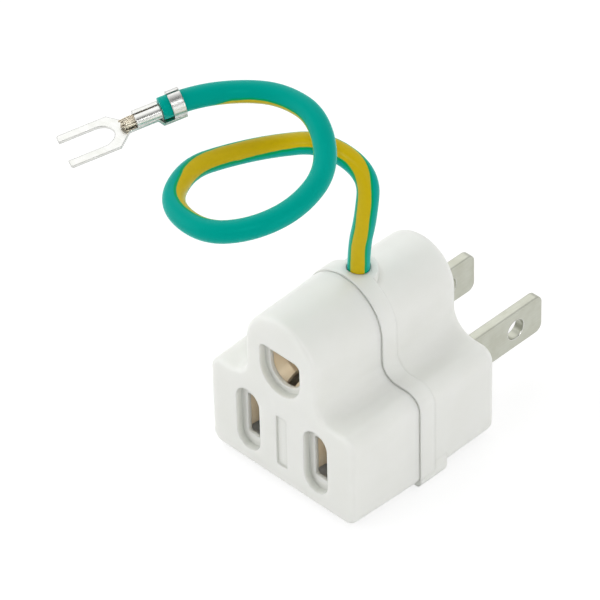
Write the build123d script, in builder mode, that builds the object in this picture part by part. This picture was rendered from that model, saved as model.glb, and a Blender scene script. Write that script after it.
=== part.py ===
from build123d import *
import os
from dataclasses import dataclass
from math import pi, radians, tan

# Grounding plug adapter, in millimetres: a moulded two-shell body with two blade slots and a ground
# opening in its front face, two flat blades at its rear, and a short ground lead with a fork terminal.
# Origin at the middle of the underside; +X to the right, +Y to the rear and +Z up, seen from the front.
# A depth is a distance behind the front face.

# Lengths from front to rear
body_length = 27.9
blade_reach = 15.7
rim_depth = 12.4
collar_length = 2.7
pad_length = 5.5

# Front face outline, grown by the draft towards the seam
pole_to_side = 7.05
front_shoulder = 15.55
front_hump_radius = 6.5
front_crown = 28.95
front_bottom_corner = 1.7
front_top_corner = 2.0
front_neck = 3.0
front_edge_radius = 0.75
front_draft = 1.7
seam_gap = 0.1

# Collar and pad at the front of the rear body
collar_proud = 0.2
collar_edge_radius = 0.15
pad_height = 1.2
pad_corner = 1.1
pad_fade = 2.4
pad_end_radius = 0.8

# Rear body outline behind the collar, stepped in from it and narrowing a little to the rear
rear_floor = 0.3
rear_side_step = 0.52
rear_shoulder_step = 0.97
rear_hump_step = 0.67
rear_crown_step = 1.52
rear_bottom_corner = 2.0
rear_top_corner = 2.5
rear_neck = 3.2
rear_edge_radius = 1.6
rear_draft = 0.5

# Walls, and the tongue that joins the two shells
wall = 1.8
front_wall = 1.75
rear_wall = 2.9
smallest_corner = 0.5
smallest_flat = 0.05
rim_lip = 0.9
tongue_length = 1.5
tongue_clearance = 0.08

# Openings of the front face
pole_pitch = 12.7
slot_height = 8.15
recess_width = 4.45
recess_height = 10.5
recess_depth = 1.15
slot_width = 2.3
slot_length = 7.0
slot_corner = 0.45
ground_rise = 11.9
ground_half_width = 3.75
ground_top = 3.4
ground_top_corner = 1.0
ground_ledge = 0.9
panel_width = 2.0
panel_bottom = 3.6
panel_height = 8.6
panel_corner = 0.4
panel_depth = 0.25

# Blades, their feet and the seats that carry them
blade_thickness = 1.5
blade_height = 6.3
blade_tip_corner = 1.3
blade_edge_radius = 0.2
blade_hole_diameter = 3.2
blade_hole_setback = 5.3
foot_clearance = 0.3
foot_bend = 0.6
seat_length = 2.9
seat_overlap = 1.2
blade_clearance = 0.06

# Pole contacts: a twin-leaf clip for a flat blade, with a wing for the rivet
leaf_thickness = 0.5
leaf_height = 5.6
contact_setback = 0.1
leaf_bend = 0.4
leaf_curve = 3.0
mouth_gap = 2.5
throat_gap = 1.2
throat_depth = 7.5
root_gap = 1.7
root_depth = 11.5

# Rivets that hold each contact to its blade's foot
rivet_diameter = 2.0
rivet_setback = 1.9
rivet_clearance = 0.03
rivet_head_diameter = 2.9
rivet_head_height = 0.8
rivet_head_edge = 0.3
rivet_tail_diameter = 2.8
rivet_tail_height = 0.6
rivet_pocket_clearance = 0.25

# Ground contact: a split sleeve for a round pin, with a crimp barrel on top
sleeve_end = 18.6
sleeve_radius = 2.45
sleeve_thickness = 0.5
sleeve_mouth_radius = 3.2
sleeve_mouth_length = 1.8
sleeve_split = 1.5
pin_bore_radius = 2.6
socket_start = 17.0
socket_wall = 1.6
socket_clearance = 0.05
inner_barrel_height = 2.5
inner_barrel_wall = 0.5

# Ground lead: insulated wire, bare strands at both ends, and the boss and hole that it leaves by
wire_diameter = 3.05
strand_bundle_diameter = 1.5
strand_count = 6
strand_clearance = 0.04
exit_depth = 15.1
exit_hole_diameter = 3.3
exit_boss_radius = 2.7
insulation_start = 26.3
inner_strand_length = 2.9

# Fork terminal, with places measured from its rear end towards the prong tips
terminal_length = 16.8
terminal_sheet = 0.35
grip_length = 1.75
grip_clearance = 0.03
insulation_reach = 3.0
crimp_start = 3.15
crimp_length = 3.55
crimp_width = 2.8
crimp_height = 1.66
fold_seam = 0.3
strand_reach = 8.8
pressed_strand_radius = 0.25
pressed_strand_columns = 4
strip_drop = 0.08
strip_rise = 0.6
spine_width = 2.3
spine_bend = 0.3
neck_place = 7.9
shoulder_place = 9.8
fork_root = 9.7
fork_width = 6.7
fork_gap = 4.1
fork_tip_chamfer = 0.25

# The lead's route as (across, depth, height), from inside the body to the terminal
wire_route = [
    (0.0, exit_depth, insulation_start),
    (0.0, exit_depth, 32.4),
    (1.3, 15.4, 38.5),
    (0.5, 17.0, 44.5),
    (-5.5, 14.5, 48.0),
    (-9.5, 9.5, 48.0),
    (-12.0, 3.5, 48.5),
    (-13.0, -3.0, 49.5),
    (-10.0, -9.5, 49.0),
    (-2.5, -10.5, 49.0),
    (2.5, -6.5, 50.0),
    (4.5, 0.0, 51.0),
    (3.0, 7.0, 52.5),
    (-2.6, 11.0, 55.6),
    (-9.0, 10.9, 55.9),
    (-13.7, 8.05, 55.7),
    (-17.35, 2.3, 56.0),
    (-19.17, -1.51, 55.16),
]

# Places worked out from the sizes above
overall_length = body_length + blade_reach
front_y = -overall_length / 2
tip_y = front_y + overall_length
rear_inside = body_length - rear_wall
seat_depth = rear_inside - seat_length
foot_depth = seat_depth - blade_thickness
web_depth = foot_depth - leaf_thickness
pole = pole_pitch / 2
ground_height = slot_height + ground_rise
contact_start = front_wall + contact_setback
sleeve_outer_radius = sleeve_radius + sleeve_thickness
strand_radius = strand_bundle_diameter / 2
wire_radius = wire_diameter / 2
front_slope = tan(radians(front_draft))
front_half_width = pole + pole_to_side
rear_slope = tan(radians(rear_draft))
collar_growth = collar_proud + rim_depth * front_slope
collar_half_width = front_half_width + collar_growth
rear_half_width = collar_half_width - rear_side_step
rear_shoulder = front_shoulder + collar_growth - rear_shoulder_step
rear_hump_radius = front_hump_radius + collar_growth - rear_hump_step
rear_crown = front_crown + collar_growth - rear_crown_step
blade_inner_x = pole - blade_thickness / 2
foot_end_x = rear_half_width - wall - foot_clearance
rivet_x = foot_end_x - rivet_setback


def station(depth):
    """Plane across the adapter at a depth behind the front face, with X across and Y up."""
    return Plane.XZ.offset(-(front_y + depth))


@dataclass(frozen=True)
class Bell:
    """Cross-section of a shell: a round-cornered box with a round-topped hump in its middle."""

    half_width: float
    floor: float
    shoulder: float
    hump_radius: float
    crown: float
    bottom_corner: float
    top_corner: float
    neck: float

    def outline(self, depth, growth=0.0):
        """The closed section at a depth, grown outwards all round by a distance."""
        side = self.half_width + growth
        bottom = self.floor - growth
        shoulder = self.shoulder + growth
        hump = self.hump_radius + growth
        hump_centre = self.crown - self.hump_radius
        ledge = side - hump
        top_corner = min(max(self.top_corner + growth, smallest_corner), ledge / 2)
        corners = [
            max(self.bottom_corner + growth, smallest_corner),
            top_corner,
            min(max(self.neck - growth, smallest_corner), ledge - top_corner - smallest_flat),
        ]
        with BuildSketch(station(depth)) as section:
            with BuildLine():
                FilletPolyline(
                    (0, bottom), (side, bottom), (side, shoulder), (hump, shoulder), (hump, hump_centre),
                    radius=corners,
                )
                CenterArc((0, hump_centre), hump, 0, 90)
                mirror(about=Plane.YZ)
            make_face()
        return section.sketch


front_bell = Bell(
    half_width=front_half_width,
    floor=collar_growth,
    shoulder=front_shoulder,
    hump_radius=front_hump_radius,
    crown=front_crown,
    bottom_corner=front_bottom_corner,
    top_corner=front_top_corner,
    neck=front_neck,
)
rear_bell = Bell(
    half_width=rear_half_width,
    floor=rear_floor,
    shoulder=rear_shoulder,
    hump_radius=rear_hump_radius,
    crown=rear_crown,
    bottom_corner=rear_bottom_corner,
    top_corner=rear_top_corner,
    neck=rear_neck,
)


def cover_block(start, end, growth, mode=Mode.ADD):
    """Block of the front outline between two depths, widening by the draft, grown by a distance."""
    first = front_bell.outline(start, growth + start * front_slope)
    last = front_bell.outline(end, growth + end * front_slope)
    loft([first.face(), last.face()], mode=mode)


def rear_block(start, end, growth, mode=Mode.ADD):
    """Block of the rear outline between two depths, narrowing by the draft, grown by a distance."""
    first = rear_bell.outline(start, growth - (start - rim_depth) * rear_slope)
    last = rear_bell.outline(end, growth - (end - rim_depth) * rear_slope)
    loft([first.face(), last.face()], mode=mode)


def ground_outline(depth, inset):
    """Opening for the round pin: half-round below and flat on top, drawn in by an inset."""
    half_width = ground_half_width - inset
    top = ground_height + ground_top - inset
    corner = max(ground_top_corner - inset, smallest_corner)
    with BuildSketch(station(depth)) as opening:
        with BuildLine():
            FilletPolyline(
                (half_width, ground_height), (half_width, top),
                (-half_width, top), (-half_width, ground_height),
                radius=corner,
            )
            CenterArc((0, ground_height), half_width, 180, 180)
        make_face()
    return opening.sketch


def mirrored(part, label):
    """The same piece on the left side."""
    with BuildPart() as piece:
        mirror(part, about=Plane.YZ)
    piece.part.label = label
    return piece.part


# Front cover: the drafted shell with its stepped openings and the rim that takes the tongue
with BuildPart() as front_cover:
    cover_block(0, rim_depth - seam_gap, 0)
    fillet(front_cover.edges().group_by(Axis.Y)[0], front_edge_radius)
    cover_block(front_wall, rim_depth, -wall, mode=Mode.SUBTRACT)
    cover_block(rim_depth - tongue_length, rim_depth, -rim_lip, mode=Mode.SUBTRACT)
    with BuildSketch(station(0)):
        with Locations((-pole, slot_height), (pole, slot_height)):
            SlotOverall(recess_height, recess_width, rotation=90)
    extrude(amount=-recess_depth, mode=Mode.SUBTRACT)
    with BuildSketch(station(0)):
        with Locations((-pole, slot_height), (pole, slot_height)):
            RectangleRounded(slot_width, slot_length, slot_corner)
    extrude(amount=-front_wall, mode=Mode.SUBTRACT)
    extrude(ground_outline(0, 0), amount=-recess_depth, mode=Mode.SUBTRACT)
    extrude(ground_outline(0, ground_ledge), amount=-front_wall, mode=Mode.SUBTRACT)
    with BuildSketch(station(0)):
        with Locations((0, panel_bottom + panel_height / 2)):
            RectangleRounded(panel_width, panel_height, panel_corner)
    extrude(amount=-panel_depth, mode=Mode.SUBTRACT)
front_cover.part.label = "front_cover"

# Collar and pad of the rear body, each drawn proud of the shell and rounded before it joins it
collar_outline = front_bell.outline(rim_depth, collar_growth)

with BuildPart() as collar:
    extrude(collar_outline, amount=-collar_length)
    fillet(collar.edges().group_by(Axis.Y)[0], collar_edge_radius)

with BuildPart() as pad:
    with BuildSketch(station(rim_depth)):
        with BuildLine():
            Polyline(
                (0, 0), (collar_half_width, 0), (collar_half_width, pad_height),
                (collar_half_width - wall / 2, pad_height + pad_fade), (0, pad_height + pad_fade),
            )
            mirror(about=Plane.YZ)
        make_face()
    extrude(amount=-pad_length)
    fillet(pad.edges().filter_by(Axis.Y).group_by(Axis.Z)[0], pad_corner)
    fillet(pad.faces().sort_by(Axis.Y)[-1].edges().sort_by(Axis.Z)[:5], pad_end_radius)

# Boss round the lead, its top in line with the collar's crown
with BuildPart() as exit_boss:
    extrude(collar_outline, amount=-(exit_depth - rim_depth + exit_boss_radius))
    with BuildSketch(Plane.XY.offset(rear_crown - wall)):
        with Locations((0, front_y + exit_depth)):
            Circle(exit_boss_radius)
    extrude(amount=wall + collar_half_width, mode=Mode.INTERSECT)

# Rear body: the shell and its tongue, with the seats for the blades and the socket for the sleeve
with BuildPart() as rear_body:
    rear_block(rim_depth, body_length, 0)
    fillet(rear_body.edges().group_by(Axis.Y)[-1], rear_edge_radius)
    add([collar.part, pad.part, exit_boss.part])
    cover_block(rim_depth - tongue_length, rim_depth, -rim_lip - tongue_clearance)
    cover_block(rim_depth - tongue_length, rim_depth, -wall, mode=Mode.SUBTRACT)
    rear_block(rim_depth, rear_inside, -wall, mode=Mode.SUBTRACT)
    with BuildSketch(station(seat_depth)):
        for side in (-1, 1):
            inner = blade_inner_x - seat_overlap
            outer = rear_half_width - wall / 2
            with Locations((side * (inner + outer) / 2, slot_height)):
                Rectangle(outer - inner, blade_height + 2 * seat_overlap)
    extrude(amount=-(seat_length + rear_wall / 2))
    with BuildSketch(station(socket_start)):
        with Locations((0, ground_height)):
            Circle(sleeve_outer_radius + socket_clearance + socket_wall)
            Circle(pin_bore_radius, mode=Mode.SUBTRACT)
    extrude(amount=-(rear_inside - socket_start))
    with BuildSketch(station(socket_start)):
        with Locations((0, ground_height)):
            Circle(sleeve_outer_radius + socket_clearance)
    extrude(amount=-(sleeve_end - socket_start), mode=Mode.SUBTRACT)
    with BuildSketch(station(seat_depth)):
        with Locations((-pole, slot_height), (pole, slot_height)):
            Rectangle(blade_thickness + 2 * blade_clearance, blade_height + 2 * blade_clearance)
    extrude(amount=-(body_length - seat_depth), mode=Mode.SUBTRACT)
    relief = foot_bend + blade_clearance
    with BuildSketch(station(seat_depth)):
        for side in (-1, 1):
            with Locations((side * (pole + (blade_thickness + relief) / 2), slot_height)):
                Rectangle(relief, blade_height + 2 * blade_clearance)
    extrude(amount=-relief, mode=Mode.SUBTRACT)
    with BuildSketch(station(seat_depth)):
        with Locations((-rivet_x, slot_height), (rivet_x, slot_height)):
            Circle(rivet_tail_diameter / 2 + rivet_pocket_clearance)
    extrude(amount=-(rivet_tail_height + rivet_pocket_clearance), mode=Mode.SUBTRACT)
    with BuildSketch(Plane.XY.offset(ground_height + sleeve_outer_radius)):
        with Locations((0, front_y + exit_depth)):
            Circle(exit_hole_diameter / 2)
    extrude(amount=collar_half_width, mode=Mode.SUBTRACT)
rear_body.part.label = "rear_body"

# Right blade: a flat leg with rounded tip and round hole, its root bent outwards into a riveted foot
with BuildPart() as right_blade:
    with BuildSketch(Plane.XY.offset(slot_height - blade_height / 2)):
        with BuildLine():
            FilletPolyline(
                (blade_inner_x, tip_y),
                (blade_inner_x, front_y + foot_depth),
                (foot_end_x, front_y + foot_depth),
                radius=foot_bend + blade_thickness,
            )
            offset(amount=blade_thickness, side=Side.LEFT)
        make_face()
    extrude(amount=blade_height)
    fillet(right_blade.edges().filter_by(Axis.X).group_by(Axis.Y)[-1], blade_tip_corner)
    leg_faces = right_blade.faces().filter_by(Axis.X).sort_by(Axis.X)[:2]
    for face in leg_faces:
        fillet(face.outer_wire().edges().sort_by(Axis.Y)[1:], blade_edge_radius)
    with BuildSketch(Plane.YZ):
        with Locations((tip_y - blade_hole_setback, slot_height)):
            Circle(blade_hole_diameter / 2)
    extrude(amount=foot_end_x, mode=Mode.SUBTRACT)
    with BuildSketch(station(foot_depth)):
        with Locations((rivet_x, slot_height)):
            Circle(rivet_diameter / 2 + rivet_clearance)
    extrude(amount=-blade_thickness, mode=Mode.SUBTRACT)
right_blade.part.label = "right_blade"

# Right pole contact: two sprung leaves bent from one strip, and the wing that the rivet holds
with BuildPart() as right_contact:
    with BuildSketch(Plane.XY.offset(slot_height - leaf_height / 2)):
        with BuildLine():
            FilletPolyline(
                (pole + mouth_gap / 2, front_y + contact_start),
                (pole + throat_gap / 2, front_y + throat_depth),
                (pole + root_gap / 2, front_y + root_depth),
                (pole + root_gap / 2, front_y + web_depth),
                (pole - root_gap / 2, front_y + web_depth),
                (pole - root_gap / 2, front_y + root_depth),
                (pole - throat_gap / 2, front_y + throat_depth),
                (pole - mouth_gap / 2, front_y + contact_start),
                radius=[leaf_curve, leaf_curve, leaf_bend, leaf_bend, leaf_curve, leaf_curve],
            )
            offset(amount=leaf_thickness, side=Side.RIGHT)
        make_face()
        with Locations((pole, front_y + web_depth)):
            Rectangle(foot_end_x - pole, leaf_thickness, align=(Align.MIN, Align.MIN))
    extrude(amount=leaf_height)
    with BuildSketch(station(web_depth)):
        with Locations((rivet_x, slot_height)):
            Circle(rivet_diameter / 2 + rivet_clearance)
    extrude(amount=-leaf_thickness, mode=Mode.SUBTRACT)
right_contact.part.label = "right_contact"

# Right rivet: a rounded head on the contact, a shank through the foot and a tail spread behind it
with BuildPart() as right_rivet:
    with BuildSketch(station(web_depth)):
        with Locations((rivet_x, slot_height)):
            Circle(rivet_head_diameter / 2)
    extrude(amount=rivet_head_height)
    fillet(right_rivet.edges().group_by(Axis.Y)[0], rivet_head_edge)
    with BuildSketch(station(web_depth)):
        with Locations((rivet_x, slot_height)):
            Circle(rivet_diameter / 2)
    extrude(amount=-(leaf_thickness + blade_thickness))
    with BuildSketch(station(seat_depth)):
        with Locations((rivet_x, slot_height)):
            Circle(rivet_tail_diameter / 2)
    extrude(amount=-rivet_tail_height)
right_rivet.part.label = "right_rivet"

# Ground contact: the sleeve is turned about the pin's axis, split below, and carries the barrel on top
sleeve_axis = Axis((0, 0, ground_height), (0, 1, 0))

with BuildPart() as ground_contact:
    with BuildSketch(Plane.YZ):
        with BuildLine():
            mouth_height = ground_height + sleeve_mouth_radius
            bore_height = ground_height + sleeve_radius
            Polyline(
                (front_y + contact_start, mouth_height),
                (front_y + contact_start + sleeve_mouth_length, bore_height),
                (front_y + sleeve_end, bore_height),
                (front_y + sleeve_end, bore_height + sleeve_thickness),
                (front_y + contact_start + sleeve_mouth_length, bore_height + sleeve_thickness),
                (front_y + contact_start, mouth_height + sleeve_thickness),
                close=True,
            )
        make_face()
    revolve(axis=sleeve_axis)
    with BuildSketch(station(contact_start)):
        with Locations((0, ground_height)):
            Rectangle(
                sleeve_split, sleeve_mouth_radius + 2 * sleeve_thickness, align=(Align.CENTER, Align.MAX)
            )
    extrude(amount=-(sleeve_end - contact_start), mode=Mode.SUBTRACT)
    with BuildSketch(Plane.XY.offset(ground_height + sleeve_radius)):
        with Locations((0, front_y + exit_depth)):
            Circle(strand_radius + strand_clearance + inner_barrel_wall)
    extrude(amount=sleeve_thickness + inner_barrel_height)
    with BuildSketch(Plane.XY.offset(ground_height + sleeve_outer_radius)):
        with Locations((0, front_y + exit_depth)):
            Circle(strand_radius + strand_clearance)
    extrude(amount=inner_barrel_height, mode=Mode.SUBTRACT)
ground_contact.part.label = "ground_contact"


def strand_section(plane):
    """Section of a bundle of bare strands: a ring of round strands about one in the middle."""
    strand = strand_radius / 3
    with BuildSketch(plane) as section:
        Circle(strand_radius - strand)
        with PolarLocations(strand_radius - strand, strand_count):
            Circle(strand)
    return section.sketch


# Strands inside the body, from the sleeve's barrel to the insulation
with BuildPart() as inner_strands:
    start_plane = Plane((0, front_y + exit_depth, insulation_start - inner_strand_length))
    extrude(strand_section(start_plane), amount=inner_strand_length)
inner_strands.part.label = "inner_strands"

# Insulated wire: a round tube along straight runs joined by arcs as large as the runs allow
route_points = [Vector(x, front_y + depth, z) for x, depth, z in wire_route]
route_radii = []
for before, corner, after in zip(route_points, route_points[1:], route_points[2:]):
    turn = (corner - before).get_angle(after - corner)
    shorter_run = min((corner - before).length, (after - corner).length)
    route_radii.append(0.45 * shorter_run / tan(radians(turn) / 2))
print("Route radii:", [round(radius, 1) for radius in route_radii])

with BuildPart() as ground_wire:
    with BuildLine() as wire_path:
        FilletPolyline(*route_points, radius=route_radii)
    with BuildSketch(Plane(wire_path.line @ 0, z_dir=wire_path.line % 0)):
        Circle(wire_radius)
    sweep()
ground_wire.part.label = "ground_wire"
path_length = wire_path.wire().length
print("Wire length:", round(path_length, 2))
print("Volume against section times length:", round(ground_wire.part.volume / (pi * wire_radius**2 * path_length), 4))

# Fork terminal frame: X across the fork, Y along it towards the tips and Z up, on the wire's axis
wire_end = route_points[-1]
wire_heading = (route_points[-1] - route_points[-2]).normalized()
terminal_across = Vector(0, 0, 1).cross(wire_heading).normalized() * -1
terminal = Plane(
    origin=wire_end - wire_heading * insulation_reach,
    x_dir=terminal_across,
    z_dir=terminal_across.cross(wire_heading),
)


def across_terminal(place):
    """Plane across the terminal at a place along it, with X across and Y up, facing the rear."""
    origin = terminal.from_local_coords(Vector(0, place, 0))
    return Plane(origin, x_dir=terminal.x_dir, z_dir=terminal.y_dir * -1)


crimp_inner_width = crimp_width - 2 * terminal_sheet
crimp_inner_height = crimp_height - 2 * terminal_sheet
grip_inner_radius = wire_radius + grip_clearance
grip_outer_radius = grip_inner_radius + terminal_sheet
grip_floor = -grip_outer_radius - strip_drop
fork_floor = -crimp_height / 2 - strip_drop
rise_place = insulation_reach + terminal_sheet
lengthwise = Plane(terminal.origin, x_dir=terminal.y_dir, z_dir=terminal.x_dir)

# Strands at the terminal, pressed flat from the insulation through the crimp to the neck of the fork
with BuildPart() as outer_strands:
    row_pitch = crimp_inner_height - 2 * strand_clearance - 2 * pressed_strand_radius
    row_length = crimp_inner_width - 3 * pressed_strand_radius
    column_pitch = row_length / (pressed_strand_columns - 1)
    with BuildSketch(across_terminal(insulation_reach)):
        Rectangle(row_length, row_pitch)
        with GridLocations(column_pitch, row_pitch, pressed_strand_columns, 2):
            Circle(pressed_strand_radius)
    extrude(amount=-(strand_reach - insulation_reach))
outer_strands.part.label = "outer_strands"

# Fork terminal: one stamped strip with a grip round the insulation, a flattened crimp barrel and a fork
with BuildPart() as fork_terminal:
    with BuildSketch(lengthwise.offset(-spine_width / 2)):
        with BuildLine():
            FilletPolyline(
                (0, grip_floor),
                (rise_place, grip_floor),
                (rise_place + strip_rise, fork_floor),
                (fork_root, fork_floor),
                radius=spine_bend,
            )
            offset(amount=terminal_sheet, side=Side.LEFT)
        make_face()
    extrude(amount=spine_width)
    with BuildSketch(terminal.offset(fork_floor)):
        with BuildLine():
            Polyline(
                (spine_width / 2, neck_place),
                (fork_width / 2, shoulder_place),
                (fork_width / 2, terminal_length - fork_tip_chamfer),
                (fork_width / 2 - fork_tip_chamfer, terminal_length),
                (fork_gap / 2, terminal_length),
                (fork_gap / 2, fork_root + fork_gap / 2),
            )
            ThreePointArc(
                (fork_gap / 2, fork_root + fork_gap / 2), (0, fork_root), (-fork_gap / 2, fork_root + fork_gap / 2)
            )
            Polyline(
                (-fork_gap / 2, fork_root + fork_gap / 2),
                (-fork_gap / 2, terminal_length),
                (fork_tip_chamfer - fork_width / 2, terminal_length),
                (-fork_width / 2, terminal_length - fork_tip_chamfer),
                (-fork_width / 2, shoulder_place),
                (-spine_width / 2, neck_place),
                (spine_width / 2, neck_place),
            )
        make_face()
    extrude(amount=terminal_sheet)
    with BuildSketch(across_terminal(0)):
        Circle(grip_outer_radius)
    extrude(amount=-grip_length)
    with BuildSketch(across_terminal(crimp_start)):
        SlotOverall(crimp_width, crimp_height)
    extrude(amount=-crimp_length)
    with BuildSketch(across_terminal(0)):
        Circle(grip_inner_radius)
        Rectangle(fold_seam, 2 * grip_outer_radius, align=(Align.CENTER, Align.MIN))
    extrude(amount=-grip_length, mode=Mode.SUBTRACT)
    with BuildSketch(across_terminal(crimp_start)):
        SlotOverall(crimp_inner_width, crimp_inner_height)
        Rectangle(fold_seam, crimp_height, align=(Align.CENTER, Align.MIN))
    extrude(amount=-crimp_length, mode=Mode.SUBTRACT)
fork_terminal.part.label = "fork_terminal"

pieces = [
    front_cover.part,
    rear_body.part,
    right_blade.part,
    mirrored(right_blade.part, "left_blade"),
    right_contact.part,
    mirrored(right_contact.part, "left_contact"),
    right_rivet.part,
    mirrored(right_rivet.part, "left_rivet"),
    ground_contact.part,
    inner_strands.part,
    ground_wire.part,
    outer_strands.part,
    fork_terminal.part,
]
os.makedirs("parts", exist_ok=True)
for piece in pieces:
    export_step(piece, f"parts/{piece.label}.step")
    print(piece.label, round(piece.volume, 2), piece.is_valid, len(piece.solids()))
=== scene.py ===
"""Grounding plug adapter: finishes, ground lead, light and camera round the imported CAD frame.

Lengths are in metres and angles in degrees, unless a comment says otherwise. The origin is under
the middle of the body, with +X to the right, +Y to the rear and +Z up, seen from the front face.
"""

import logging
import math
import random
from collections.abc import Sequence
from dataclasses import dataclass, field
from enum import Enum, IntEnum

import bpy
from mathutils import Matrix, Vector


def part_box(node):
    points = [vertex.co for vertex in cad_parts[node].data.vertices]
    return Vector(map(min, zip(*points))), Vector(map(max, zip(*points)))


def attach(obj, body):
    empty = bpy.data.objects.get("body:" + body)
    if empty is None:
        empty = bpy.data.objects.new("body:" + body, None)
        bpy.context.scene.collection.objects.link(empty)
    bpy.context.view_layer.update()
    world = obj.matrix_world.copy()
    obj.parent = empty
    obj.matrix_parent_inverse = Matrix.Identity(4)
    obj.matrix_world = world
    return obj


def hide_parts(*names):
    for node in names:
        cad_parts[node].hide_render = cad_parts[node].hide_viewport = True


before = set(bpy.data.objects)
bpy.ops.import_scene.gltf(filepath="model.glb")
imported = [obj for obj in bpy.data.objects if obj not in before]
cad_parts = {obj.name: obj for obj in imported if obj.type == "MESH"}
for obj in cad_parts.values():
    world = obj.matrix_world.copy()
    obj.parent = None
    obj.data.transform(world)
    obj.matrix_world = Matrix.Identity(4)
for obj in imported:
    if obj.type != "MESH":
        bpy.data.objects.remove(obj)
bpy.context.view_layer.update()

log = logging.getLogger("plug_adapter")

MM = 0.001
BODY = "root"

Colour = tuple[float, float, float]
Point = tuple[float, float, float]
Span = tuple[float, float]

WHITE: Colour = (1.0, 1.0, 1.0)
FLOAT = "NodeSocketFloat"
VECTOR = "NodeSocketVector"

# What a mask does while the value behind it goes up.
RISE: Span = (0.0, 1.0)
FALL: Span = (1.0, 0.0)

# The span that holds nearly all values of a noise.
NOISE_SPAN: Span = (0.3, 0.7)

# U goes from 0 to 1 round a tube, and a stripe along the tube lies at this U.
STRIPE_U = 0.5


class Slot(Enum):
    """Material slots of the record."""

    BODY = "body"
    BLADE = "blade"
    CONTACT = "contact"
    RIVET = "rivet"
    INSULATION = "insulation"
    STRAND = "strand"
    TERMINAL = "terminal"


class Grain(Enum):
    """Scale of the brush marks' pattern on each axis. The marks run along the axis with the small one."""

    LENGTHWISE = (1.0, 0.05, 1.0)
    ACROSS = (0.05, 1.0, 1.0)
    ROLLED = (1.0, 1.0, 0.08)


class MixSocket(IntEnum):
    """Places of the sockets that a Mix node uses for colours."""

    FACTOR = 0
    FIRST = 6
    SECOND = 7
    RESULT = 2


def opaque(colour: Colour) -> tuple[float, float, float, float]:
    """The colour with full opacity."""
    return (*colour, 1.0)


def outward(azimuth: float, elevation: float) -> Vector:
    """The direction from the adapter to something that stands round it.

    Args:
        azimuth: Angle from straight before the front face, towards the right.
        elevation: Angle above the floor.

    Returns:
        The direction, with length 1.
    """
    turn, rise = math.radians(azimuth), math.radians(elevation)
    return Vector((math.sin(turn) * math.cos(rise), -math.cos(turn) * math.cos(rise), math.sin(rise)))


def add_object(name: str, data: bpy.types.ID) -> bpy.types.Object:
    """Adds an object to the scene.

    Args:
        name: The new object's name.
        data: Its mesh, lamp or camera.

    Returns:
        The new object.
    """
    made = bpy.data.objects.new(name, data)
    bpy.context.scene.collection.objects.link(made)
    return made


class Wiring:
    """Short calls for the nodes and links of one node tree."""

    def __init__(self, tree: bpy.types.NodeTree) -> None:
        """Starts on a tree and takes its nodes out.

        Args:
            tree: The tree of a material, a world or a group.
        """
        self.tree = tree
        tree.nodes.clear()

    def node(
        self, kind: str, settings: dict[str, object] | None = None, **inputs: object,
    ) -> bpy.types.Node:
        """Adds a node.

        Args:
            kind: The node's type, without the ShaderNode or NodeGroup prefix.
            settings: Properties of the node itself.
            **inputs: Values or sockets for its inputs, with underscores for spaces.

        Returns:
            The new node.
        """
        prefix = "NodeGroup" if kind in ("Input", "Output") else "ShaderNode"
        made = self.tree.nodes.new(prefix + kind)
        for name, value in (settings or {}).items():
            setattr(made, name, value)
        for name, value in inputs.items():
            self.fill(made.inputs[name.replace("_", " ")], value)
        return made

    def effect(self, group: bpy.types.NodeTree, **inputs: object) -> bpy.types.Node:
        """Adds a shared effect.

        Args:
            group: The effect.
            **inputs: Its input values, with underscores for spaces.

        Returns:
            The group's node.
        """
        return self.node("Group", {"node_tree": group}, **inputs)

    def fill(self, socket: bpy.types.NodeSocket, value: object) -> None:
        """Links an input to another socket, or sets its value.

        Args:
            socket: The input.
            value: The socket that it is linked to, or its value.
        """
        if isinstance(value, bpy.types.NodeSocket):
            self.tree.links.new(value, socket)
        else:
            socket.default_value = value

    def calculate(self, operation: str, first: object, second: object = 0.0) -> bpy.types.NodeSocket:
        """Adds a Math node.

        Args:
            operation: Blender's name of the operation.
            first: The first value or socket.
            second: The second value or socket.

        Returns:
            The result's socket.
        """
        made = self.node("Math", {"operation": operation})
        self.fill(made.inputs[0], first)
        self.fill(made.inputs[1], second)
        return made.outputs[0]

    def combine(self, operation: str, first: object, second: object) -> bpy.types.Node:
        """Adds a Vector Math node.

        Args:
            operation: Blender's name of the operation.
            first: The first vector or socket.
            second: The second vector or socket.

        Returns:
            The new node.
        """
        made = self.node("VectorMath", {"operation": operation})
        self.fill(made.inputs[0], first)
        self.fill(made.inputs[1], second)
        return made

    def spread(self, value: object, source: Span, target: Span) -> bpy.types.NodeSocket:
        """Maps a value smoothly from one range to another.

        Args:
            value: The socket to map.
            source: The lowest and highest value that come in.
            target: The values that go out for them.

        Returns:
            The result's socket.
        """
        made = self.node(
            "MapRange", {"interpolation_type": "SMOOTHSTEP"}, Value=value,
            From_Min=source[0], From_Max=source[1], To_Min=target[0], To_Max=target[1],
        )
        return made.outputs["Result"]

    def blend(self, factor: object, first: object, second: object) -> bpy.types.NodeSocket:
        """Mixes two colours.

        Args:
            factor: Share of the second colour.
            first: The first colour or its socket.
            second: The second colour or its socket.

        Returns:
            The mixed colour's socket.
        """
        made = self.node("Mix", {"data_type": "RGBA"})
        self.fill(made.inputs[MixSocket.FACTOR], factor)
        self.fill(made.inputs[MixSocket.FIRST], first)
        self.fill(made.inputs[MixSocket.SECOND], second)
        return made.outputs[MixSocket.RESULT]


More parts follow.
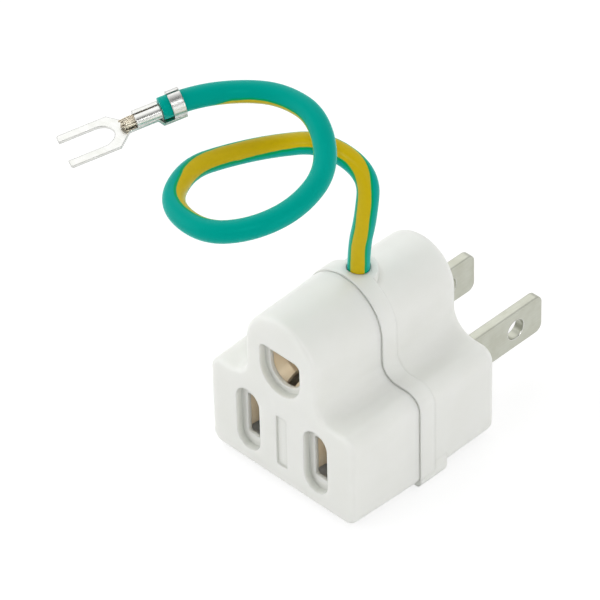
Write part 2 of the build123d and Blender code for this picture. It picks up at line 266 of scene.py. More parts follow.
class Effects:
    """Shader effects that several finishes share, each one a node group built once."""

    # Size of each pattern where a finish gives none.
    edge_radius = 0.2 * MM
    mottle_sizes = {"Fine": 0.3 * MM, "Broad": 6 * MM}
    brush_size = 0.12 * MM
    crevice_reach = 1.0 * MM

    # How alike the true and the rounded normal are, from a clear edge to a flat face.
    edge_likeness: Span = (0.80, 0.99)

    # How open a place is to the light, from a groove to a flat face.
    crevice_openness: Span = (0.80, 0.99)

    edge_samples = 6
    crevice_samples = 8
    mottle_detail = {"Detail": 3.0, "Roughness": 0.55}
    brush_detail = {"Detail": 4.0, "Roughness": 0.6}

    def __init__(self) -> None:
        """Builds the groups."""
        self.soft_edge = self._soft_edge()
        self.mottle = self._mottle()
        self.brushing = self._brushing()
        self.crevice_shade = self._crevice_shade()

    @staticmethod
    def _open(name: str, inputs: dict[str, tuple[str, object]], outputs: dict[str, str]) -> Wiring:
        """Opens a new group.

        Args:
            name: The group's name.
            inputs: Kind and default value of each input, by name.
            outputs: Kind of each output, by name.

        Returns:
            The group's wiring, with no nodes yet.
        """
        group = bpy.data.node_groups.new(name, "ShaderNodeTree")
        for label, (kind, value) in inputs.items():
            group.interface.new_socket(label, in_out="INPUT", socket_type=kind).default_value = value
        for label, kind in outputs.items():
            group.interface.new_socket(label, in_out="OUTPUT", socket_type=kind)
        return Wiring(group)

    def _soft_edge(self) -> bpy.types.NodeTree:
        """Rounded normals at sharp edges, and a mask of those edges.

        Returns:
            The group.
        """
        wiring = self._open(
            "soft_edge", {"Radius": (FLOAT, self.edge_radius)}, {"Normal": VECTOR, "Edge": FLOAT},
        )
        given = wiring.node("Input")
        bevel = wiring.node("Bevel", {"samples": self.edge_samples}, Radius=given.outputs["Radius"])
        true_normal = wiring.node("NewGeometry").outputs["Normal"]
        likeness = wiring.combine("DOT_PRODUCT", bevel.outputs["Normal"], true_normal).outputs["Value"]
        result = wiring.node("Output")
        wiring.fill(result.inputs["Normal"], bevel.outputs["Normal"])
        wiring.fill(result.inputs["Edge"], wiring.spread(likeness, self.edge_likeness, FALL))
        return wiring.tree

    def _mottle(self) -> bpy.types.NodeTree:
        """Fine and broad unevenness of a surface, each from 0 to 1.

        Returns:
            The group.
        """
        inputs = {f"{label} Size": (FLOAT, size) for label, size in self.mottle_sizes.items()}
        wiring = self._open("mottle", inputs, {label: FLOAT for label in self.mottle_sizes})
        given = wiring.node("Input")
        place = wiring.node("TexCoord").outputs["Object"]
        result = wiring.node("Output")
        for label in self.mottle_sizes:
            scale = wiring.calculate("DIVIDE", 1.0, given.outputs[f"{label} Size"])
            noise = wiring.node("TexNoise", Vector=place, Scale=scale, **self.mottle_detail)
            wiring.fill(result.inputs[label], noise.outputs["Fac"])
        return wiring.tree

    def _brushing(self) -> bpy.types.NodeTree:
        """Long fine marks left by rolling and stamping, from 0 to 1.

        Returns:
            The group.
        """
        wiring = self._open(
            "brushing", {"Size": (FLOAT, self.brush_size), "Stretch": (VECTOR, Grain.LENGTHWISE.value)},
            {"Marks": FLOAT},
        )
        given = wiring.node("Input")
        place = wiring.node("TexCoord").outputs["Object"]
        stretched = wiring.combine("MULTIPLY", place, given.outputs["Stretch"]).outputs["Vector"]
        scale = wiring.calculate("DIVIDE", 1.0, given.outputs["Size"])
        noise = wiring.node("TexNoise", Vector=stretched, Scale=scale, **self.brush_detail)
        result = wiring.node("Output")
        wiring.fill(result.inputs["Marks"], noise.outputs["Fac"])
        return wiring.tree

    def _crevice_shade(self) -> bpy.types.NodeTree:
        """A mask for painted shade in narrow grooves and inner corners, from 0 in the open to 1.

        Returns:
            The group.
        """
        wiring = self._open("crevice_shade", {"Reach": (FLOAT, self.crevice_reach)}, {"Depth": FLOAT})
        given = wiring.node("Input")
        openness = wiring.node(
            "AmbientOcclusion", {"samples": self.crevice_samples}, Distance=given.outputs["Reach"],
        )
        depth = wiring.spread(openness.outputs["AO"], self.crevice_openness, FALL)
        result = wiring.node("Output")
        wiring.fill(result.inputs["Depth"], depth)
        return wiring.tree


class Finish:
    """A finish with its own material, made on first use."""

    name: str
    slot: Slot

    def material(self, effects: Effects) -> bpy.types.Material:
        """The finish's material.

        Args:
            effects: The shared shader effects.

        Returns:
            The material, the same one on each call.
        """
        known = bpy.data.materials.get(self.name)
        if known:
            return known
        made = bpy.data.materials.new(self.name)
        made.use_nodes = True
        wiring = Wiring(made.node_tree)
        shader = wiring.node("BsdfPrincipled")
        output = wiring.node("OutputMaterial")
        wiring.fill(output.inputs["Surface"], shader.outputs["BSDF"])
        self.dress(wiring, shader, effects)
        return made

    def dress(self, wiring: Wiring, shader: bpy.types.Node, effects: Effects) -> None:
        """Wires the finish's own nodes to its shader.

        Args:
            wiring: The material's wiring.
            shader: The material's Principled shader.
            effects: The shared shader effects.
        """
        raise NotImplementedError


@dataclass(frozen=True)
class MouldedPlastic(Finish):
    """Warm white moulded plastic, semi-gloss, with a faint texture, soft edges with a painted highlight,
    and painted shade greying the grooves.
    """

    name: str = "moulded_plastic"
    slot: Slot = Slot.BODY
    colour: Colour = (0.83, 0.835, 0.80)
    shade: Colour = (0.81, 0.815, 0.775)
    # Painted highlight along sharp and rounded edges.
    edge_shading_colour: Colour = (0.84, 0.845, 0.81)
    roughness: Span = (0.30, 0.34)
    edge_radius: float = 0.3 * MM
    # Painted shade for grooves, inner corners and recess walls.
    crevice_shade_colour: Colour = (0.72, 0.73, 0.685)
    crevice_reach: float = 1.0 * MM
    texture_size: float = 0.9 * MM
    texture_depth: float = 0.0015 * MM
    ripple_size: float = 7 * MM
    ripple_depth: float = 0.012 * MM
    glow_weight: float = 0.5
    glow_reach: float = 1.5 * MM

    def dress(self, wiring: Wiring, shader: bpy.types.Node, effects: Effects) -> None:
        """Wires the finish's own nodes to its shader.

        Args:
            wiring: The material's wiring.
            shader: The material's Principled shader.
            effects: The shared shader effects.
        """
        edge = wiring.effect(effects.soft_edge, Radius=self.edge_radius)
        mottle = wiring.effect(effects.mottle, Fine_Size=self.texture_size, Broad_Size=self.ripple_size)
        crevice_shade = wiring.effect(effects.crevice_shade, Reach=self.crevice_reach)
        tone = wiring.spread(mottle.outputs["Broad"], NOISE_SPAN, RISE)
        face = wiring.blend(tone, opaque(self.shade), opaque(self.colour))
        # Painted highlight along the edges.
        edged = wiring.blend(edge.outputs["Edge"], face, opaque(self.edge_shading_colour))
        # Painted shade in grooves and inner corners, where the crevice mask is high.
        colour = wiring.blend(crevice_shade.outputs["Depth"], edged, opaque(self.crevice_shade_colour))
        roughness = wiring.spread(mottle.outputs["Fine"], NOISE_SPAN, self.roughness)
        ripple = wiring.node(
            "Bump", Strength=1.0, Distance=self.ripple_depth,
            Height=mottle.outputs["Broad"], Normal=edge.outputs["Normal"],
        )
        texture = wiring.node(
            "Bump", Strength=1.0, Distance=self.texture_depth,
            Height=mottle.outputs["Fine"], Normal=ripple.outputs["Normal"],
        )
        shader.inputs["Subsurface Weight"].default_value = self.glow_weight
        shader.inputs["Subsurface Radius"].default_value = WHITE
        shader.inputs["Subsurface Scale"].default_value = self.glow_reach
        wiring.fill(shader.inputs["Base Color"], colour)
        wiring.fill(shader.inputs["Roughness"], roughness)
        wiring.fill(shader.inputs["Normal"], texture.outputs["Normal"])


@dataclass(frozen=True)
class StampedMetal(Finish):
    """Rolled and stamped metal with brush marks and tarnish, a painted highlight along the edges (painted
    shade on the tin's darker edges), and painted shade darkening the grooves.
    """

    name: str
    slot: Slot
    colour: Colour
    tarnish: Colour
    # Painted highlight along the edges where lighter than the colour, and painted shade where darker, as
    # on the tin.
    edge_shading_colour: Colour
    grain: Grain = Grain.LENGTHWISE
    # Painted shade in grooves and between strands.
    crevice_shade_colour: Colour = (0.16, 0.12, 0.08)
    roughness: Span = (0.28, 0.42)
    mark_size: float = 0.12 * MM
    mark_depth: float = 0.004 * MM
    mark_share: float = 0.35
    tarnish_size: float = 3 * MM
    tarnish_span: Span = (0.35, 0.7)
    metallic: float = 1.0
    edge_radius: float = 0.12 * MM
    crevice_shade_share: float = 0.45
    crevice_reach: float = 0.12 * MM

    def dress(self, wiring: Wiring, shader: bpy.types.Node, effects: Effects) -> None:
        """Wires the finish's own nodes to its shader.

        Args:
            wiring: The material's wiring.
            shader: The material's Principled shader.
            effects: The shared shader effects.
        """
        edge = wiring.effect(effects.soft_edge, Radius=self.edge_radius)
        mottle = wiring.effect(effects.mottle, Broad_Size=self.tarnish_size)
        brushing = wiring.effect(effects.brushing, Size=self.mark_size, Stretch=self.grain.value)
        crevice_shade = wiring.effect(effects.crevice_shade, Reach=self.crevice_reach)
        tone = wiring.spread(mottle.outputs["Broad"], self.tarnish_span, RISE)
        face = wiring.blend(tone, opaque(self.colour), opaque(self.tarnish))
        streak = wiring.spread(brushing.outputs["Marks"], NOISE_SPAN, (0.0, self.mark_share))
        marked = wiring.blend(streak, face, opaque(self.tarnish))
        # Painted light and shade along the edges, then painted shade in the grooves.
        edged = wiring.blend(edge.outputs["Edge"], marked, opaque(self.edge_shading_colour))
        depth = wiring.calculate("MULTIPLY", crevice_shade.outputs["Depth"], self.crevice_shade_share)
        colour = wiring.blend(depth, edged, opaque(self.crevice_shade_colour))
        roughness = wiring.spread(brushing.outputs["Marks"], NOISE_SPAN, self.roughness)
        bump = wiring.node(
            "Bump", Strength=1.0, Distance=self.mark_depth,
            Height=brushing.outputs["Marks"], Normal=edge.outputs["Normal"],
        )
        shader.inputs["Metallic"].default_value = self.metallic
        wiring.fill(shader.inputs["Base Color"], colour)
        wiring.fill(shader.inputs["Roughness"], roughness)
        wiring.fill(shader.inputs["Normal"], bump.outputs["Normal"])


@dataclass(frozen=True)
class StripedInsulation(Finish):
    """Green insulation with one yellow stripe along the wire. A share is one of the way round it."""

    name: str = "striped_insulation"
    slot: Slot = Slot.INSULATION
    green: Colour = (0.0, 0.35, 0.285)
    deep_green: Colour = (0.0, 0.32, 0.26)
    border_green: Colour = (0.0, 0.33, 0.10)
    yellow: Colour = (0.64, 0.46, 0.001)
    deep_yellow: Colour = (0.57, 0.40, 0.001)
    stripe_share: float = 0.205
    border_share: float = 0.022
    blur_share: float = 0.022 / 3
    wander_share: float = 0.012
    wander_span: Span = (0.2, 0.8)
    wander_size: float = 5 * MM
    texture_size: float = 0.5 * MM
    texture_depth: float = 0.006 * MM
    roughness: Span = (0.30, 0.42)
    gloss: float = 0.14
    gloss_tint: Colour = (0.05, 1.0, 0.9)
    sheen: float = 0.35
    sheen_roughness: float = 0.4
    sheen_tint: Colour = (0.0, 1.0, 0.88)

    def dress(self, wiring: Wiring, shader: bpy.types.Node, effects: Effects) -> None:
        """Wires the finish's own nodes to its shader.

        Args:
            wiring: The material's wiring.
            shader: The material's Principled shader.
            effects: The shared shader effects.
        """
        mottle = wiring.effect(effects.mottle, Fine_Size=self.texture_size, Broad_Size=self.wander_size)
        around = wiring.node("SeparateXYZ", Vector=wiring.node("TexCoord").outputs["UV"]).outputs["X"]
        to_sides = (-self.wander_share, self.wander_share)
        wander = wiring.spread(mottle.outputs["Broad"], self.wander_span, to_sides)
        turned = wiring.calculate("ADD", around, wander)
        off_centre = wiring.calculate("ABSOLUTE", wiring.calculate("SUBTRACT", turned, STRIPE_U))
        half = self.stripe_share / 2
        stripe = wiring.spread(off_centre, (half - self.blur_share, half + self.blur_share), FALL)
        border_end = half + self.border_share
        border = wiring.spread(off_centre, (border_end, border_end + self.border_share), FALL)
        green = wiring.blend(mottle.outputs["Broad"], opaque(self.green), opaque(self.deep_green))
        yellow = wiring.blend(mottle.outputs["Fine"], opaque(self.yellow), opaque(self.deep_yellow))
        edged = wiring.blend(border, green, opaque(self.border_green))
        roughness = wiring.spread(mottle.outputs["Fine"], NOISE_SPAN, self.roughness)
        bump = wiring.node(
            "Bump", Strength=1.0, Distance=self.texture_depth, Height=mottle.outputs["Fine"],
        )
        shader.inputs["Specular IOR Level"].default_value = self.gloss
        shader.inputs["Specular Tint"].default_value = opaque(self.gloss_tint)
        shader.inputs["Sheen Weight"].default_value = self.sheen
        shader.inputs["Sheen Roughness"].default_value = self.sheen_roughness
        shader.inputs["Sheen Tint"].default_value = opaque(self.sheen_tint)
        wiring.fill(shader.inputs["Base Color"], wiring.blend(stripe, edged, yellow))
        wiring.fill(shader.inputs["Roughness"], roughness)
        wiring.fill(shader.inputs["Normal"], bump.outputs["Normal"])


BODY_PLASTIC = MouldedPlastic()
INSULATION = StripedInsulation()
BLADE_NICKEL = StampedMetal(
    name="blade_nickel",
    slot=Slot.BLADE,
    colour=(0.53, 0.54, 0.47),
    tarnish=(0.47, 0.475, 0.40),
    # Much lighter edges: painted highlight.
    edge_shading_colour=(0.82, 0.82, 0.80),
    edge_radius=0.3 * MM,
    crevice_shade_share=0.0,
)
CONTACT_BRASS = StampedMetal(
    name="contact_brass",
    slot=Slot.CONTACT,
    colour=(0.94, 0.84, 0.66),
    tarnish=(0.88, 0.76, 0.57),
    # Slightly lighter edges: painted highlight.
    edge_shading_colour=(0.96, 0.88, 0.72),
    roughness=(0.45, 0.60),
    metallic=0.45,
    crevice_shade_share=0.0,
)
RIVET_BRASS = StampedMetal(
    name="rivet_brass",
    slot=Slot.RIVET,
    colour=(0.72, 0.55, 0.30),
    tarnish=(0.58, 0.42, 0.22),
    # Lighter edges: painted highlight. The default painted shade stays in the grooves.
    edge_shading_colour=(0.85, 0.70, 0.45),
    grain=Grain.ACROSS,
)
STRAND_COPPER = StampedMetal(
    name="strand_copper",
    slot=Slot.STRAND,
    colour=(0.82, 0.77, 0.64),
    tarnish=(0.60, 0.50, 0.36),
    # Lighter edges: painted highlight.
    edge_shading_colour=(0.88, 0.84, 0.74),
    grain=Grain.ROLLED,
    mark_size=0.08 * MM,
    # Painted shade between the strands.
    crevice_shade_share=0.6,
)
TERMINAL_TIN = StampedMetal(
    name="terminal_tin",
    slot=Slot.TERMINAL,
    colour=(0.73, 0.73, 0.715),
    tarnish=(0.68, 0.685, 0.65),
    # Darker edges: painted shade, standing in for darker reflections on the edges.
    edge_shading_colour=(0.44, 0.44, 0.42),
    grain=Grain.ACROSS,
    roughness=(0.26, 0.38),
    mark_depth=0.001 * MM,
    tarnish_size=1.6 * MM,
    edge_radius=0.2 * MM,
    crevice_shade_share=0.0,
)


def dress_node(name: str, finish: Finish, effects: Effects) -> bpy.types.Object:
    """Gives a CAD node its material.

    Args:
        name: The node's name.
        finish: The finish that it gets.
        effects: The shared shader effects.

    Returns:
        The node's object.
    """
    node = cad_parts[name]
    node.data.materials.clear()
    node.data.materials.append(finish.material(effects))
    log.info("%s: %s", name, finish.name)
    return node


@dataclass
class Housing:
    """The moulded shells, the blades and the metal inside them, all of which are CAD nodes."""

    finishes: dict[str, Finish] = field(default_factory=lambda: {
        "front_cover": BODY_PLASTIC,
        "rear_body": BODY_PLASTIC,
        "left_blade": BLADE_NICKEL,
        "right_blade": BLADE_NICKEL,
        "left_contact": CONTACT_BRASS,
        "right_contact": CONTACT_BRASS,
        "ground_contact": CONTACT_BRASS,
        "left_rivet": RIVET_BRASS,
        "right_rivet": RIVET_BRASS,
        "inner_strands": STRAND_COPPER,
    })

    def dress(self, effects: Effects) -> None:
        """Gives each node its finish.

        Args:
            effects: The shared shader effects.
        """
        for name, finish in self.finishes.items():
            dress_node(name, finish, effects)


@dataclass(frozen=True)
class StripePlace:
    """Where the stripe lies at a share of the wire's length. A width of 1 is its usual one."""

    share: float
    angle: float
    width: float = 1.0


class Track:
    """A centreline with directions across it that turn no more than the line does."""

    def __init__(self, points: Sequence[Vector], start_side: Vector) -> None:
        """Works the directions out.

        Args:
            points: The points of the centreline.
            start_side: Rough direction across its start.
        """
        self.points = list(points)
        steps = [after - before for before, after in zip(points, points[1:])]
        between = [before.normalized() + after.normalized() for before, after in zip(steps, steps[1:])]
        self.headings = [step.normalized() for step in (steps[0], *between, steps[-1])]
        self.places = [0.0]
        for step in steps:
            self.places.append(self.places[-1] + step.length)
        side = start_side
        self.sides: list[Vector] = []
        for number, heading in enumerate(self.headings):
            if number:
                side = self.headings[number - 1].rotation_difference(heading) @ side
            side = (side - heading * side.dot(heading)).normalized()
            self.sides.append(side)

    def across(self, number: int, angle: float) -> Vector:
        """A direction across the line.

        Args:
            number: Which of the points it starts at.
            angle: Its angle round the line, in radians.

        Returns:
            The direction, with length 1.
        """
        return Matrix.Rotation(angle, 3, self.headings[number]) @ self.sides[number]


def tube(
    name: str, track: Track, radius: float, sides: int, stripe: Sequence[StripePlace] = (),
) -> bpy.types.Object:
    """A closed tube along a track, with U round it and V along it.

    Args:
        name: The new object's name.
        track: The centreline.
        radius: The tube's radius.
        sides: How many faces go round.
        stripe: The stripe's place at each point, or nothing for a plain tube.

    Returns:
        The tube's object, linked to the scene.
    """
    places = stripe or [StripePlace(0.0, 0.0)] * len(track.points)
    points: list[Vector] = []
    for number, (centre, place) in enumerate(zip(track.points, places)):
        for side in range(sides):
            angle = math.radians(place.angle) + math.tau * (side / sides - STRIPE_U)
            points.append(centre + track.across(number, angle) * radius)
    faces: list[list[int]] = []
    corners: list[tuple[float, float]] = []
    for ring, (near, far) in enumerate(zip(places, places[1:])):
        first, second = ring * sides, (ring + 1) * sides
        low, high = track.places[ring], track.places[ring + 1]
        for side in range(sides):
            after = (side + 1) % sides
            faces.append([first + side, first + after, second + after, second + side])
            left, right = side / sides - STRIPE_U, (side + 1) / sides - STRIPE_U
            corners += [
                (STRIPE_U + left / near.width, low), (STRIPE_U + right / near.width, low),
                (STRIPE_U + right / far.width, high), (STRIPE_U + left / far.width, high),
            ]
    last = (len(track.points) - 1) * sides
    caps = [list(range(sides - 1, -1, -1)), list(range(last, last + sides))]
    corners += [(0.0, 0.0)] * (sides * len(caps))
    mesh = bpy.data.meshes.new(name)
    mesh.from_pydata(points, [], faces + caps)
    wrap = mesh.uv_layers.new(name="wrap").data
    wrap.foreach_set("uv", [value for corner in corners for value in corner])
    mesh.polygons.foreach_set("use_smooth", [True] * len(faces) + [False] * len(caps))
    return add_object(name, mesh)


def join(name: str, parts: Sequence[bpy.types.Object]) -> bpy.types.Object:
    """Joins objects into one.

    Args:
        name: The joined object's name.
        parts: The objects, which become one.

    Returns:
        The joined object.
    """
    joined = parts[0]
    with bpy.context.temp_override(active_object=joined, object=joined, selected_editable_objects=parts):
        bpy.ops.object.join()
    joined.name = name
    joined.data.name = name
    return joined


@dataclass
class GroundLead:
    """The green and yellow wire from the body's boss to the fork terminal."""

    diameter: float = 3.05 * MM
    length: float = 108.4 * MM

    # Control points of the wire's curve: to the right, behind the front face, and up.
    route: Sequence[Point] = (
        (0.0, 0.0151, 0.0263),
        (0.0, 0.0151, 0.0324),
        (0.0013, 0.0154, 0.0385),
        (0.0005, 0.0170, 0.0445),
        (-0.0055, 0.0145, 0.0480),
        (-0.0095, 0.0095, 0.0480),
        (-0.0120, 0.0035, 0.0485),
        (-0.0130, -0.0030, 0.0495),
        (-0.0100, -0.0095, 0.0490),
        (-0.0025, -0.0105, 0.0490),
        (0.0025, -0.0065, 0.0500),
        (0.0045, 0.0, 0.0510),
        (0.0030, 0.0070, 0.0525),
        (-0.0026, 0.0110, 0.0556),
        (-0.0090, 0.0109, 0.0559),
        (-0.0137, 0.00805, 0.0557),
        (-0.01735, 0.0023, 0.0560),
        (-0.01917, -0.00151, 0.05516),
    )
    exit_height: float = 29.5 * MM
    curve_order: int = 3
    steps_per_run: int = 14
    sides: int = 48

    # At the wire's start, the stripe's angles count from this side.
    start_side: Point = (1.0, 0.0, 0.0)
    stripe: Sequence[StripePlace] = (
        StripePlace(0.0, -50),
        StripePlace(0.08, -58),
        StripePlace(0.15, -69),
        StripePlace(0.205, -6, 1.3),
        StripePlace(0.27, -3, 1.35),
        StripePlace(0.35, -15, 1.35),
        StripePlace(0.40, -19, 1.25),
        StripePlace(0.45, -34, 1.1),
        StripePlace(0.60, -52),
        StripePlace(0.75, -76),
        StripePlace(0.91, -82, 1.1),
        StripePlace(0.965, -150),
        StripePlace(1.0, -150),
    )
    places: list[Vector] = field(init=False)

    def __post_init__(self) -> None:
        """Puts the route in the frame, behind the front face."""
        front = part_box("front_cover")[0].y
        self.places = [Vector((across, front + depth, height)) for across, depth, height in self.route]

    def centreline(self) -> list[Vector]:
        """One smooth curve that the route's points control.

        Returns:
            The curve's points.
        """
        curve = bpy.data.curves.new("lead_route", "CURVE")
        curve.dimensions = "3D"
        curve.resolution_u = self.steps_per_run
        spline = curve.splines.new("NURBS")
        spline.points.add(len(self.places) - 1)
        for control, place in zip(spline.points, self.places):
            control.co = (*place, 1.0)
        spline.order_u = self.curve_order
        spline.use_endpoint_u = True
        holder = bpy.data.objects.new("lead_route", curve)
        line = bpy.data.meshes.new_from_object(holder)
        points = [vertex.co.copy() for vertex in line.vertices]
        bpy.data.objects.remove(holder)
        bpy.data.curves.remove(curve)
        bpy.data.meshes.remove(line)
        return points

    def stripe_at(self, share: float) -> StripePlace:
        """Eases from one of the stripe's places to the next.

        Args:
            share: A share of the wire's length.

        Returns:
            The stripe's place there.
        """
        for before, after in zip(self.stripe, self.stripe[1:]):
            if share <= after.share:
                part = (share - before.share) / (after.share - before.share)
                eased = part * part * (3 - 2 * part)
                return StripePlace(
                    share, before.angle + (after.angle - before.angle) * eased,
                    before.width + (after.width - before.width) * eased,
                )
        return self.stripe[-1]

    def build(self, effects: Effects, with_pieces: Sequence[bpy.types.Object]) -> bpy.types.Object:
        """Args:
            effects: The shared shader effects.
            with_pieces: The terminal and the bare strands at its end. Not used.

        Returns:
            The wire's object.
        """
        track = Track(self.centreline(), Vector(self.start_side))
        stripe = [self.stripe_at(place / track.places[-1]) for place in track.places]
        wire = tube("ground_wire_sleeve", track, self.diameter / 2, self.sides, stripe)
        wire.data.materials.append(INSULATION.material(effects))
        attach(wire, BODY)
        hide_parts("ground_wire")
        log.info("%s: %.1f mm along its line", wire.name, track.places[-1] / MM)
        return wire


@dataclass
class BareStrands:
    """Bare strands from the insulation, pressed flat in the crimp, to the neck of the fork.

    Their start and end are measured along the terminal, from a point insulation_reach before the
    end of the wire's route.
    """

    strand_diameter: float = 0.28 * MM
    row_counts: Sequence[int] = (5, 6, 5)
    column_pitch: float = 0.29 * MM
    row_pitch: float = 0.26 * MM
    start: float = 2.7 * MM
    end: float = 8.8 * MM
    insulation_reach: float = 3.0 * MM
    wander: float = 0.03 * MM
    waves: float = 2.5
    droop: float = 0.10 * MM
    droop_start: float = 0.75
    ragged: float = 0.6 * MM
    steps: int = 24
    sides: int = 10
    seed: int = 5

    def build(self, lead: GroundLead, effects: Effects) -> bpy.types.Object:
        """Builds the strands.

        Args:
            lead: The wire that they come out of.
            effects: The shared shader effects.

        Returns:
            The strands' object.
        """
        heading = (lead.places[-1] - lead.places[-2]).normalized()
        across = heading.cross(Vector((0, 0, 1))).normalized()
        up = across.cross(heading)
        origin = lead.places[-1] - heading * self.insulation_reach
        rng = random.Random(self.seed)
        strands: list[bpy.types.Object] = []
        for row, count in enumerate(self.row_counts):
            for column in range(count):
                end = self.end - rng.uniform(0, self.ragged)
                phase = rng.uniform(0, math.tau)
                fall = rng.uniform(0.0, self.droop)
                middle = across * (column - (count - 1) / 2) * self.column_pitch
                middle += up * (row - (len(self.row_counts) - 1) / 2) * self.row_pitch
                points: list[Vector] = []
                for step in range(self.steps + 1):
                    share = step / self.steps
                    along = heading * (self.start + (end - self.start) * share)
                    sway = across * math.sin(phase + math.tau * self.waves * share) * self.wander
                    drooped = max(0.0, (share - self.droop_start) / (1 - self.droop_start))
                    drop = up * (-fall * drooped ** 2)
                    points.append(origin + along + middle + sway + drop)
                name = f"strand_{row}_{column}"
                strands.append(tube(name, Track(points, across), self.strand_diameter / 2, self.sides))
        bundle = join("bare_strands", strands)
        bundle.data.materials.append(STRAND_COPPER.material(effects))
        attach(bundle, BODY)
        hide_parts("outer_strands")
        log.info("%s: %d strands", bundle.name, len(strands))
        return bundle


@dataclass
class Seam:
    """The shallow groove where the two shells meet, its floor a little under the cover's surface."""

    thickness: float = 0.09 * MM
    depth: float = 0.14 * MM
    tolerance: float = 0.002 * MM

    def _rim(self) -> tuple[list[Vector], list[list[int]]]:
        """The front cover's rear rim, drawn in to the groove's depth.

        Returns:
            The rim's points, and its faces as lists of their places among these points.
        """
        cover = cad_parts["front_cover"]
        low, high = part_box("front_cover")
        middle, half = (low + high) / 2, (high - low) / 2
        drawn_in = Vector((1 - self.depth / half.x, 1.0, 1 - self.depth / half.z))
        places = [cover.matrix_world @ vertex.co for vertex in cover.data.vertices]
        faces = [
            list(face.vertices) for face in cover.data.polygons
            if all(places[number].y >= high.y - self.tolerance for number in face.vertices)
        ]
        kept = sorted({number for face in faces for number in face})
        renumbered = {number: place for place, number in enumerate(kept)}
        points = [middle + (places[number] - middle) * drawn_in for number in kept]
        return points, [[renumbered[number] for number in face] for face in faces]

    def build(self, effects: Effects) -> bpy.types.Object:
        """Builds the groove's floor as a closed ring from the rim of the front cover.

        Args:
            effects: The shared shader effects.

        Returns:
            The floor's object.
        """
        front, rim = self._rim()
        back = [point + Vector((0, self.thickness, 0)) for point in front]
        count = len(front)
        edges = dict.fromkeys(edge for face in rim for edge in zip(face, face[1:] + face[:1]))
        walls = [[b + count, a + count, a, b] for a, b in edges if (b, a) not in edges]
        front_faces = [face[::-1] for face in rim]
        back_faces = [[number + count for number in face] for face in rim]
        mesh = bpy.data.meshes.new("shell_seam")
        mesh.from_pydata(front + back, [], front_faces + back_faces + walls)
        mesh.materials.append(BODY_PLASTIC.material(effects))
        seam = add_object("shell_seam", mesh)
        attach(seam, BODY)
        log.info("%s: %d faces", seam.name, len(mesh.polygons))
        return seam


@dataclass(frozen=True)
class Lamp:
    """A round area lamp aimed at the adapter. Its share is the light that a white sheet gets from it."""

    name: str
    azimuth: float
    elevation: float
    share: float
    distance: float = 0.9
    size: float = 0.9

    def place(self, aim: Vector) -> None:
        """Adds the lamp to the scene.

        Args:
            aim: The point that it shines at.
        """
        away = outward(self.azimuth, self.elevation)
        data = bpy.data.lights.new(self.name, "AREA")
        data.shape = "DISK"
        data.size = self.size
        data.energy = self.share * math.pi**2 * self.distance**2
        lamp = add_object(self.name, data)
        lamp.location = aim + away * self.distance
        lamp.rotation_euler = away.to_track_quat("Z", "Y").to_euler()


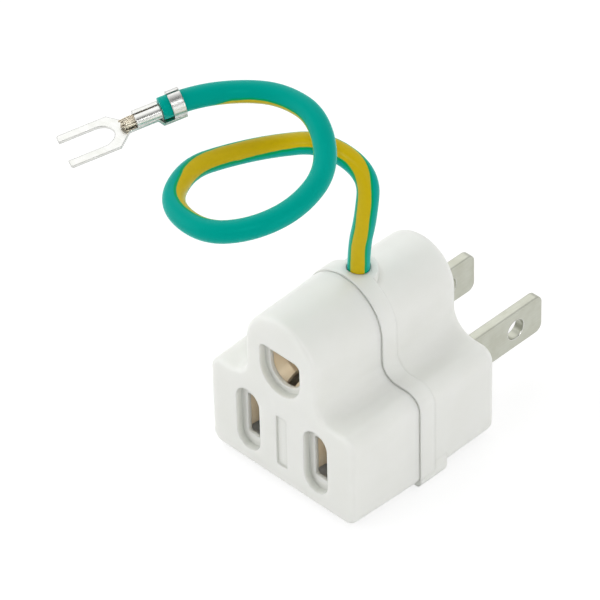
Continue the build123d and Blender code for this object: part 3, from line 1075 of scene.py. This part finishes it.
@dataclass
class Studio:
    """Plain pale floor, soft lamps, and white surroundings that are darker on one side."""

    aim: Point = (0.0, -0.01, 0.03)
    surroundings: float = 0.80
    dark_level: float = 0.12
    dark_side: Point = (0.547, -0.533, 0.644)
    dark_edge: Span = (0.60, 0.85)
    backdrop: float = 1.0
    floor_half_width: float = 3.0
    floor_colour: Colour = (0.80, 0.80, 0.80)
    seen_floor_colour: Colour = (0.42, 0.42, 0.42)
    seen_floor_glow: float = 0.68
    lamps: Sequence[Lamp] = (
        Lamp("front_lamp", azimuth=-44, elevation=18, share=0.37),
        Lamp("fill_lamp", azimuth=45.7, elevation=40.2, share=0.22, size=0.2),
        Lamp("side_lamp", azimuth=86, elevation=12, share=0.22, size=0.5),
        Lamp("back_lamp", azimuth=-122, elevation=44, share=0.20, size=1.0),
    )

    def light(self) -> None:
        """Adds the lamps and the surroundings."""
        for lamp in self.lamps:
            lamp.place(Vector(self.aim))
        world = bpy.data.worlds.new("studio")
        bpy.context.scene.world = world
        world.use_nodes = True
        wiring = Wiring(world.node_tree)
        direction = wiring.node("TexCoord").outputs["Generated"]
        towards = wiring.combine("DOT_PRODUCT", direction, self.dark_side).outputs["Value"]
        level = wiring.spread(towards, self.dark_edge, (self.surroundings, self.dark_level))
        seen = wiring.node("LightPath").outputs["Is Camera Ray"]
        shown = wiring.calculate("MULTIPLY", seen, self.backdrop)
        hidden = wiring.calculate("MULTIPLY", wiring.calculate("SUBTRACT", 1.0, seen), level)
        strength = wiring.calculate("ADD", shown, hidden)
        background = wiring.node("Background", Color=opaque(WHITE), Strength=strength)
        output = wiring.node("OutputWorld")
        wiring.fill(output.inputs["Surface"], background.outputs["Background"])

    @staticmethod
    def _seen_directly(wiring: Wiring) -> bpy.types.NodeSocket:
        """A mask of the rays that show the floor itself, its reflection or it through glass.

        Args:
            wiring: The floor material's wiring.

        Returns:
            The mask's socket, 1 for such a ray and otherwise 0.
        """
        path = wiring.node("LightPath")
        shown = wiring.calculate("MAXIMUM", path.outputs["Is Camera Ray"], path.outputs["Is Glossy Ray"])
        return wiring.calculate("MAXIMUM", shown, path.outputs["Is Transmission Ray"])

    def lay_floor(self) -> None:
        """Adds the floor, which shows as white with the adapter's soft shadow."""
        reach = self.floor_half_width
        corners = [(-reach, -reach, 0), (reach, -reach, 0), (reach, reach, 0), (-reach, reach, 0)]
        mesh = bpy.data.meshes.new("floor")
        mesh.from_pydata(corners, [], [(0, 1, 2, 3)])
        floor = add_object("floor", mesh)
        material = bpy.data.materials.new("floor_paper")
        material.use_nodes = True
        wiring = Wiring(material.node_tree)
        paper = wiring.node("BsdfDiffuse", Color=opaque(self.floor_colour))
        seen_paper = wiring.node("BsdfDiffuse", Color=opaque(self.seen_floor_colour))
        glow = wiring.node("Emission", Color=opaque(WHITE), Strength=self.seen_floor_glow)
        lit = wiring.node("AddShader")
        wiring.fill(lit.inputs[0], seen_paper.outputs[0])
        wiring.fill(lit.inputs[1], glow.outputs[0])
        chosen = wiring.node("MixShader", Fac=self._seen_directly(wiring))
        wiring.fill(chosen.inputs[1], paper.outputs[0])
        wiring.fill(chosen.inputs[2], lit.outputs[0])
        output = wiring.node("OutputMaterial")
        wiring.fill(output.inputs["Surface"], chosen.outputs[0])
        mesh.materials.append(material)


@dataclass
class Viewpoint:
    """The camera, high on the right of the front face, from far off with a long lens.

    The lens and the sensor are in millimetres.
    """

    azimuth: float = 45.74
    elevation: float = 40.22
    roll: float = -1.5
    distance: float = 0.66
    aim: Point = (0.01333, -0.03066, 0.04607)
    lens: float = 312.4
    sensor: float = 36.0
    clip_start: float = 0.01

    def place(self) -> None:
        """Adds the camera and makes it the scene's own."""
        turn, lean = math.radians(self.azimuth), math.radians(self.roll)
        back = outward(self.azimuth, self.elevation)
        level = Vector((math.cos(turn), math.sin(turn), 0.0))
        upright = back.cross(level)
        right = level * math.cos(lean) + upright * math.sin(lean)
        data = bpy.data.cameras.new("camera")
        data.lens = self.lens
        data.sensor_width = self.sensor
        data.clip_start = self.clip_start
        camera = add_object("camera", data)
        axes = Matrix((right, back.cross(right), back)).transposed().to_4x4()
        camera.matrix_world = Matrix.Translation(Vector(self.aim) + back * self.distance) @ axes
        bpy.context.scene.camera = camera


def main() -> None:
    """Dresses the frame, adds the lead and its strands, and sets up the studio and the camera."""
    logging.basicConfig(level=logging.INFO, format="%(name)s: %(message)s")
    bpy.context.scene.view_settings.view_transform = "Standard"
    Viewpoint().place()
    effects = Effects()
    lead = GroundLead()
    terminal = dress_node("fork_terminal", TERMINAL_TIN, effects)
    strands = BareStrands().build(lead, effects)
    lead.build(effects, [terminal, strands])
    Housing().dress(effects)
    Seam().build(effects)
    studio = Studio()
    studio.lay_floor()
    studio.light()


if __name__ == "__main__":
    main()
